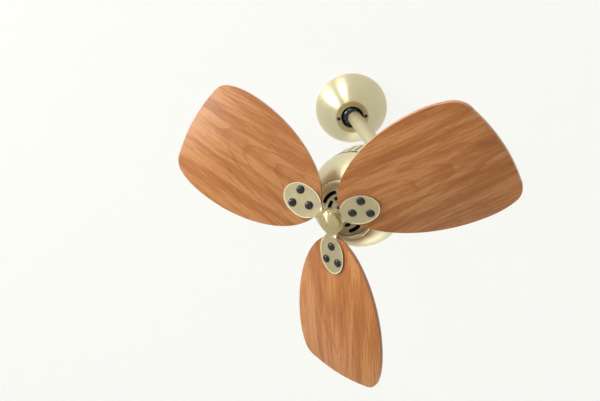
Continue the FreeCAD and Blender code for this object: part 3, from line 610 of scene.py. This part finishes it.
def grain_map(mesh, index):
    """Adds a UV map in metres, along and across a blade, shifted for each, and gives the face's normal."""
    middle = sum((vertex.co for vertex in mesh.vertices), Vector()) / len(mesh.vertices) - ROTOR_CENTRE
    along = (middle - HEAD_AXIS * middle.dot(HEAD_AXIS)).normalized()
    face = broad_face(mesh)
    across = face.cross(along).normalized()
    shift = Vector((GRAIN_SHIFT * index, GRAIN_SLIP * (index - 1)))
    layer = mesh.uv_layers.new(name=GRAIN_MAP)
    for loop in mesh.loops:
        spot = mesh.vertices[loop.vertex_index].co - ROTOR_CENTRE
        layer.data[loop.index].uv = Vector((spot.dot(along), spot.dot(across))) + shift
    return face


def merged_copy(node):
    """A node's solid as a shape to work on, with its triangles joined at their points."""
    shape = bmesh.new()
    shape.from_mesh(frame["nodes"][node].data)
    bmesh.ops.remove_doubles(shape, verts=shape.verts, dist=MERGE_DISTANCE)
    return shape


def from_axis(face):
    """How far a face's middle is from the rotor's axis."""
    return HEAD_AXIS.cross(face.calc_center_median() - ROTOR_CENTRE).length


def is_level(face, pad):
    """Whether a face lies in a leaf pad's plane."""
    return abs((face.calc_center_median() - pad.calc_center_median()).dot(pad.normal)) < LEVEL


def raise_rims(shape):
    """Sinks the leaf pads' lower faces inside their outlines, so that a narrow rim stands round each, and
    gives the rim away from the hub the second finish, a painted highlight.
    """
    lower = [face for face in shape.faces if face.normal.dot(HEAD_AXIS) < LOOKS_DOWN
             and from_axis(face) > sizes().pad_start]
    pads = [face for face in lower if face.calc_area() > PAD_AREA]
    flat = [face for face in lower if any(is_level(face, pad) for pad in pads)]
    rim = bmesh.ops.inset_region(shape, faces=flat, use_boundary=True, use_even_offset=True,
                                 thickness=sizes().rim_width, depth=-sizes().rim_height)["faces"]
    # the rim's faces away from the hub take the pale painted highlight
    for face in rim:
        if from_axis(face) > sizes().rim_start:
            face.material_index = SECOND_SLOT


def softened(node, edge, name, rims=False):
    """A copy of a node's solid with its creases rounded, which stands for the node."""
    shape = merged_copy(node)
    bmesh.ops.dissolve_limit(shape, angle_limit=FLAT_ANGLE, verts=shape.verts, edges=shape.edges)
    crease = sizes().crease_angle
    sharp = [line for line in shape.edges if line.is_manifold and line.calc_face_angle(0.0) > crease]
    if edge > SHARP_EDGE and sharp:
        bmesh.ops.bevel(shape, geom=sharp, offset=edge, segments=sizes().edge_steps,
                        profile=ROUND_PROFILE, affect="EDGES", clamp_overlap=True)
    if rims:
        raise_rims(shape)
    bmesh.ops.triangulate(shape, faces=[face for face in shape.faces if len(face.verts) > MOST_CORNERS])
    for face in shape.faces:
        face.smooth = True
    for line in shape.edges:
        line.smooth = line.calc_face_angle(0.0) < crease
    mesh = bpy.data.meshes.new(name)
    shape.to_mesh(mesh)
    shape.free()
    piece = bpy.data.objects.new(name, mesh)
    bpy.context.scene.collection.objects.link(piece)
    return piece


def dress(node, material, edge, centre, axis, rim=None):
    """Replaces a node by its softened copy, with a brush map about its axis and a finish."""
    piece = softened(node, edge, node + "_dressed", rim is not None)
    brush_map(piece.data, centre, axis)
    piece.data.materials.append(material)
    if rim:
        piece.data.materials.append(rim)
    body = frame["nodes"][node]["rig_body"]
    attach(piece, body)
    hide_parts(node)
    return piece


def finish_nodes(name, *nodes):
    """Gives nodes that keep their own meshes a plain finish."""
    material = plain(name)
    for node in nodes:
        materials = frame["nodes"][node].data.materials
        materials.clear()
        materials.append(material)


def stations(node):
    """How far along the head's axis a node begins and ends."""
    along = [(vertex.co - ROTOR_CENTRE).dot(HEAD_AXIS) for vertex in frame["nodes"][node].data.vertices]
    return min(along), max(along)


def paint_inside_shade(mesh, inside_shade):
    """The faces that look at the head's inside, and the rims inside the slit, take flat black: painted
    shade for the dark inside of the head.
    """
    mesh.materials.append(inside_shade)
    rear, front = stations("bell_housing")[1], stations("top_cover")[0]
    inside = ROTOR_CENTRE + HEAD_AXIS * rear
    reach = sizes().sheet_edge
    for polygon in mesh.polygons:
        outward = (polygon.center - inside).normalized()
        in_slit = rear - reach < (polygon.center - ROTOR_CENTRE).dot(HEAD_AXIS) < front + reach
        if in_slit or polygon.normal.dot(outward) < LOOKS_INWARD:
            polygon.material_index = SECOND_SLOT


def loose_parts(node):
    """The separate solids of a node, each as a list of points."""
    shape = merged_copy(node)
    waiting = dict.fromkeys(shape.verts)
    groups = []
    while waiting:
        group = []
        stack = [waiting.popitem()[0]]
        while stack:
            vertex = stack.pop()
            group.append(vertex.co.copy())
            for line in vertex.link_edges:
                other = line.other_vert(vertex)
                if other in waiting:
                    del waiting[other]
                    stack.append(other)
        groups.append(group)
    shape.free()
    return groups


def screw_line(points):
    """Where a screw lies, worked out from its points."""
    middle = sum(points, Vector()) / len(points)
    tail = max(points, key=lambda point: (point - middle).length)
    far = [point for point in points if (point - tail).length > (middle - tail).length]
    centre = sum(far, Vector()) / len(far)
    reach = TAIL_SHARE * (tail - centre).length
    tail_ring = [point for point in points if (point - centre).length > reach]
    tail_centre = sum(tail_ring, Vector()) / len(tail_ring)
    heading = (centre - tail_centre).normalized()
    return ScrewLine(tail_centre, heading, max((point - tail_centre).dot(heading) for point in points))


def domed_head(tree, start):
    """The upper half of a ball, sized to the screw's head."""
    ball = add_node(tree, "GeometryNodeMeshUVSphere", inputs={
        "Segments": DOME_SEGMENTS, "Rings": DOME_RINGS, "Radius": 1.0})
    place = add_node(tree, "GeometryNodeInputPosition").outputs["Position"]
    parts = add_node(tree, "ShaderNodeSeparateXYZ", inputs={"Vector": place})
    below = add_node(tree, "FunctionNodeCompare", {"operation": "LESS_THAN"},
                     {0: parts.outputs["Z"], 1: DOME_FOOT})
    dome = add_node(tree, "GeometryNodeDeleteGeometry", inputs={
        "Geometry": ball.outputs["Mesh"], "Selection": below.outputs["Result"]})
    scale = add_node(tree, "ShaderNodeCombineXYZ", inputs={
        "X": start["Head radius"], "Y": start["Head radius"], "Z": start["Head height"]})
    sized = add_node(tree, "GeometryNodeTransform", inputs={
        "Geometry": dome.outputs["Geometry"], "Scale": scale.outputs["Vector"]})
    return add_node(tree, "GeometryNodeSetShadeSmooth", inputs={
        "Geometry": sized.outputs["Geometry"]}).outputs["Geometry"]


def plain_shank(tree, start):
    """A rod that hangs from the middle of the screw's head."""
    shank = add_node(tree, "GeometryNodeMeshCylinder", inputs={
        "Vertices": SHANK_SIDES, "Radius": start["Shank radius"], "Depth": start["Shank length"]})
    half = add_node(tree, "ShaderNodeMath", {"operation": "MULTIPLY"},
                    {0: start["Shank length"], 1: HALF_DOWN})
    drop = add_node(tree, "ShaderNodeCombineXYZ", inputs={"Z": half.outputs["Value"]})
    return add_node(tree, "GeometryNodeTransform", inputs={
        "Geometry": shank.outputs["Mesh"], "Translation": drop.outputs["Vector"]}).outputs["Geometry"]


def screw_tree(material):
    """A node tree that sets a domed screw on every point, turned to the point's own direction."""
    tree = bpy.data.node_groups.new("domed_screws", "GeometryNodeTree")
    interface = tree.interface
    interface.new_socket("Geometry", in_out="INPUT", socket_type="NodeSocketGeometry")
    sockets = [interface.new_socket(name, in_out="INPUT", socket_type="NodeSocketFloat")
               for name in ("Head radius", "Head height", "Shank radius", "Shank length")]
    interface.new_socket("Geometry", in_out="OUTPUT", socket_type="NodeSocketGeometry")
    start = add_node(tree, "NodeGroupInput").outputs
    screw = add_node(tree, "GeometryNodeJoinGeometry")
    for part in (domed_head(tree, start), plain_shank(tree, start)):
        tree.links.new(part, screw.inputs["Geometry"])
    heading = add_node(tree, "GeometryNodeInputNamedAttribute", {"data_type": "FLOAT_VECTOR"},
                       {"Name": "heading"})
    turned = add_node(tree, "FunctionNodeAlignRotationToVector", {"axis": "Z"},
                      {"Vector": heading.outputs["Attribute"]})
    set_out = add_node(tree, "GeometryNodeInstanceOnPoints", inputs={
        "Points": start["Geometry"], "Instance": screw.outputs["Geometry"],
        "Rotation": turned.outputs["Rotation"]})
    whole = add_node(tree, "GeometryNodeRealizeInstances", inputs={
        "Geometry": set_out.outputs["Instances"]})
    finished = add_node(tree, "GeometryNodeSetMaterial", inputs={
        "Geometry": whole.outputs["Geometry"], "Material": material})
    add_node(tree, "NodeGroupOutput", inputs={0: finished.outputs["Geometry"]})
    return tree, [socket.identifier for socket in sockets]


def screw_seats(screws, shank_length):
    """A point on the pad under each screw's head, which knows the way that the head points."""
    mesh = bpy.data.meshes.new("blade_screw_seats")
    mesh.from_pydata([screw.tail + screw.heading * shank_length for screw in screws], [], [])
    layer = mesh.attributes.new("heading", "FLOAT_VECTOR", "POINT")
    layer.data.foreach_set("vector", [value for screw in screws for value in screw.heading])
    points = bpy.data.objects.new("blade_screw_heads", mesh)
    bpy.context.scene.collection.objects.link(points)
    return points


def seen_directly(tree):
    """One for rays from the camera and for those that a mirror or a clear piece sends on, else nought."""
    path = add_node(tree, "ShaderNodeLightPath").outputs
    seen = add_node(tree, "ShaderNodeMath", {"operation": "MAXIMUM"},
                    {0: path["Is Camera Ray"], 1: path["Is Glossy Ray"]})
    return add_node(tree, "ShaderNodeMath", {"operation": "MAXIMUM"},
                    {0: seen.outputs["Value"], 1: path["Is Transmission Ray"]}).outputs["Value"]


def room_light():
    """A white room that lights the fan softly and shows white behind it and in its metal."""
    world = bpy.data.worlds.new("room_light")
    world.use_nodes = True
    tree = world.node_tree
    strength = add_node(tree, "ShaderNodeMapRange", inputs={
        "Value": seen_directly(tree), "To Min": ROOM_STRENGTH, "To Max": SEEN_STRENGTH})
    back = tree.nodes["Background"]
    back.inputs["Color"].default_value = named_colour("ceiling")
    tree.links.new(strength.outputs["Result"], back.inputs["Strength"])
    return world


def stage_paint(name, colour, glow_share):
    """Flat paint, bright to the eye, that keeps a soft shadow and shows from its front only."""
    material, tree, shader = new_material(name)
    shader.inputs["Base Color"].default_value = colour
    shader.inputs["Roughness"].default_value = PAINT_ROUGHNESS
    share = add_node(tree, "ShaderNodeMath", {"operation": "MULTIPLY"},
                     {0: seen_directly(tree), 1: glow_share})
    glow = add_node(tree, "ShaderNodeEmission", inputs={"Color": colour, "Strength": SEEN_STRENGTH})
    lit = add_node(tree, "ShaderNodeMixShader", inputs={
        0: share.outputs["Value"], 1: shader.outputs["BSDF"], 2: glow.outputs["Emission"]})
    clear = add_node(tree, "ShaderNodeBsdfTransparent")
    back = add_node(tree, "ShaderNodeNewGeometry").outputs["Backfacing"]
    both = add_node(tree, "ShaderNodeMixShader", inputs={
        0: back, 1: lit.outputs["Shader"], 2: clear.outputs["BSDF"]})
    output = next(node for node in tree.nodes if node.type == "OUTPUT_MATERIAL")
    tree.links.new(both.outputs["Shader"], output.inputs["Surface"])
    return material


def add_plane(name, half, height, material, faces_down):
    """A level square of the stage."""
    corners = [(-half, -half, height), (half, -half, height), (half, half, height), (-half, half, height)]
    if faces_down:
        corners.reverse()
    mesh = bpy.data.meshes.new(name)
    mesh.from_pydata(corners, [], [range(len(corners))])
    mesh.materials.append(material)
    plane = bpy.data.objects.new(name, mesh)
    bpy.context.scene.collection.objects.link(plane)


def add_lamp(name):
    """A soft lamp that points at the fan."""
    place, side, power = LAMPS[name]
    lamp = bpy.data.lights.new(name, "AREA")
    lamp.size = side
    lamp.energy = power
    holder = bpy.data.objects.new(name, lamp)
    holder.location = place
    holder.rotation_euler = (LAMP_TARGET - Vector(place)).to_track_quat("-Z", "Y").to_euler()
    bpy.context.scene.collection.objects.link(holder)


def add_camera(view):
    """The camera that the scene is seen through."""
    camera = bpy.data.objects.new("camera", bpy.data.cameras.new("camera"))
    camera.location = view.camera_place
    camera.rotation_euler = view.camera_turn
    camera.data.lens = view.lens
    bpy.context.scene.collection.objects.link(camera)
    bpy.context.scene.camera = camera


class FAN_OT_canopy(bpy.types.Operator):
    """Canopy, its collar and what they cover"""

    bl_idname = "fan.canopy"
    bl_label = "Canopy"

    def execute(self, context):
        dress("canopy", spun_brass("spun_brass_canopy"), sizes().sheet_edge, Vector(), UP)
        dress("canopy_collar", spun_brass("spun_brass_collar"), sizes().sheet_edge, Vector(), UP)
        finish_nodes("black_nickel_collar_screws", "collar_screws")
        finish_nodes("zinc_plated_steel", "ceiling_bracket")
        finish_nodes("dark_nylon_liner", "ball_seat_liner")
        return {"FINISHED"}


class FAN_OT_hanger(bpy.types.Operator):
    """Hanger ball, rod and tilt knuckle"""

    bl_idname = "fan.hanger"
    bl_label = "Ball, rod and knuckle"

    def execute(self, context):
        dress("hanger_ball", plain("black_nylon"), sizes().sheet_edge, BALL_CENTRE, ROD_AXIS)
        dress("down_rod", lacquered_rod(), sizes().sheet_edge, BALL_CENTRE, ROD_AXIS)
        casting = cast_brass()
        dress("knuckle_fork", casting, sizes().casting_edge, BALL_CENTRE, ROD_AXIS)
        dress("tilt_neck", casting, sizes().casting_edge, KNUCKLE, HEAD_AXIS)
        dark = plain("black_nickel_bolts")
        for node in ("fork_bolt", "fork_nut", "tilt_bolt", "tilt_nut"):
            dress(node, dark, sizes().sheet_edge, BALL_CENTRE, ROD_AXIS)
        finish_nodes("bright_steel", "tilt_washers", "ball_pin")
        return {"FINISHED"}


class FAN_OT_motor_head(bpy.types.Operator):
    """Covers of the motor and what they hold"""

    bl_idname = "fan.motor_head"
    bl_label = "Motor head"

    def execute(self, context):
        # flat black painted inside the covers and on the slit's rims as shade
        inside_shade = plain("painted_shade_inside")
        # The top cover's louvres leave no room for rounded edges
        edges = {"bell_housing": sizes().sheet_edge, "top_cover": SHARP_EDGE,
                 "vent_cover": sizes().sheet_edge}
        for node, edge in edges.items():
            piece = dress(node, spun_brass("spun_brass_" + node), edge, ROTOR_CENTRE, HEAD_AXIS)
            paint_inside_shade(piece.data, inside_shade)
        finish_nodes("bare_aluminium_casting", "front_shield", "rear_shield")
        finish_nodes("lacquered_laminations", "stator_core")
        finish_nodes("enamelled_copper", "stator_windings")
        finish_nodes("sintered_bronze", "front_bush", "rear_bush")
        finish_nodes("black_capacitor_case", "capacitor")
        finish_nodes("zinc_screws", "motor_bolts", "neck_screws", "top_cover_screws", "vent_cover_screws")
        return {"FINISHED"}


class FAN_OT_rotor(bpy.types.Operator):
    """Shaft, hub, spider and nut"""

    bl_idname = "fan.rotor"
    bl_label = "Hub and spider"

    def execute(self, context):
        # the pads' rims get a pale painted highlight
        rim = plain("rim_painted_highlight")
        dress("blade_spider", cast_brass(), SHARP_EDGE, ROTOR_CENTRE, HEAD_AXIS, rim)
        nut = spun_brass("turned_brass_nut")
        for node in ("hub_nut", "hub_washer"):
            dress(node, nut, sizes().sheet_edge, ROTOR_CENTRE, HEAD_AXIS)
        finish_nodes("ground_shaft_steel", "rotor_shaft", "rotor_core", "shaft_collars", "blade_nuts")
        return {"FINISHED"}


class FAN_OT_blades(bpy.types.Operator):
    """Three walnut blades with the grain along each"""

    bl_idname = "fan.blades"
    bl_label = "Blades"

    def execute(self, context):
        walnut = walnut_laminate()
        edge = plain("walnut_edge_band")
        for index, node in enumerate(BLADES):
            piece = softened(node, sizes().blade_edge, node + "_walnut")
            face = grain_map(piece.data, index)
            piece.data.materials.append(walnut)
            piece.data.materials.append(edge)
            for polygon in piece.data.polygons:
                if abs(polygon.normal.dot(face)) < EDGE_ON:
                    polygon.material_index = SECOND_SLOT
            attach(piece, "rotor")
            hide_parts(node)
        return {"FINISHED"}


class FAN_OT_blade_screws(bpy.types.Operator):
    """Nine domed screws in the leaf pads"""

    bl_idname = "fan.blade_screws"
    bl_label = "Blade screws"

    def execute(self, context):
        screws = [screw_line(group) for group in loose_parts("blade_screws")]
        shank_length = screws[0].length - sizes().screw_height - sizes().rim_height
        points = screw_seats(screws, shank_length)
        tree, sockets = screw_tree(plain("black_oxide_screws"))
        modifier = points.modifiers.new("domes", "NODES")
        modifier.node_group = tree
        values = (sizes().screw_radius, sizes().screw_height, sizes().shank_radius, shank_length)
        for socket, value in zip(sockets, values):
            modifier[socket] = value
        evaluated = points.evaluated_get(context.evaluated_depsgraph_get())
        heads = bpy.data.meshes.new_from_object(evaluated)
        points.modifiers.clear()
        points.data = heads
        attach(points, "rotor")
        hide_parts("blade_screws")
        return {"FINISHED"}


class FAN_OT_stage(bpy.types.Operator):
    """Ceiling, floor, soft light and camera"""

    bl_idname = "fan.stage"
    bl_label = "Stage"

    def execute(self, context):
        view = context.scene.fan_view
        ceiling_paint = stage_paint("white_ceiling", named_colour("ceiling"), CEILING_GLOW)
        add_plane("ceiling", CEILING_HALF, CEILING_GAP, ceiling_paint, faces_down=True)
        floor_paint = stage_paint("pale_floor", named_colour("floor"), FLOOR_GLOW)
        add_plane("floor", FLOOR_HALF, -view.floor_drop, floor_paint, faces_down=False)
        for name in LAMPS:
            add_lamp(name)
        context.scene.world = room_light()
        add_camera(view)
        context.scene.view_settings.view_transform = "Standard"
        return {"FINISHED"}


OPERATORS = (FAN_OT_canopy, FAN_OT_hanger, FAN_OT_motor_head, FAN_OT_rotor, FAN_OT_blades,
             FAN_OT_blade_screws, FAN_OT_stage)


class FAN_PT_panel(bpy.types.Panel):
    """Lists the fan's pieces, sizes and colours in the sidebar"""

    bl_idname = "FAN_PT_panel"
    bl_label = "Ceiling fan"
    bl_space_type = "VIEW_3D"
    bl_region_type = "UI"
    bl_category = "Fan"

    def draw(self, context):
        for operator in OPERATORS:
            self.layout.operator(operator.bl_idname)
        for group in (context.scene.fan_sizes, context.scene.fan_colours, context.scene.fan_view):
            for name in group.__annotations__:
                self.layout.prop(group, name)


CLASSES = (FanSizes, FanColours, FanView, *OPERATORS, FAN_PT_panel)


def register():
    """Makes the fan's classes and properties known."""
    for item in CLASSES:
        bpy.utils.register_class(item)
    bpy.types.Scene.fan_sizes = PointerProperty(type=FanSizes)
    bpy.types.Scene.fan_colours = PointerProperty(type=FanColours)
    bpy.types.Scene.fan_view = PointerProperty(type=FanView)


def unregister():
    """Takes the fan's classes and properties away again."""
    del bpy.types.Scene.fan_view
    del bpy.types.Scene.fan_colours
    del bpy.types.Scene.fan_sizes
    for item in reversed(CLASSES):
        bpy.utils.unregister_class(item)


def main():
    """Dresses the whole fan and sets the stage."""
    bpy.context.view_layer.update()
    register()
    bpy.ops.fan.canopy()
    bpy.ops.fan.hanger()
    bpy.ops.fan.motor_head()
    bpy.ops.fan.rotor()
    bpy.ops.fan.blades()
    bpy.ops.fan.blade_screws()
    bpy.ops.fan.stage()


if __name__ == "__main__":
    main()
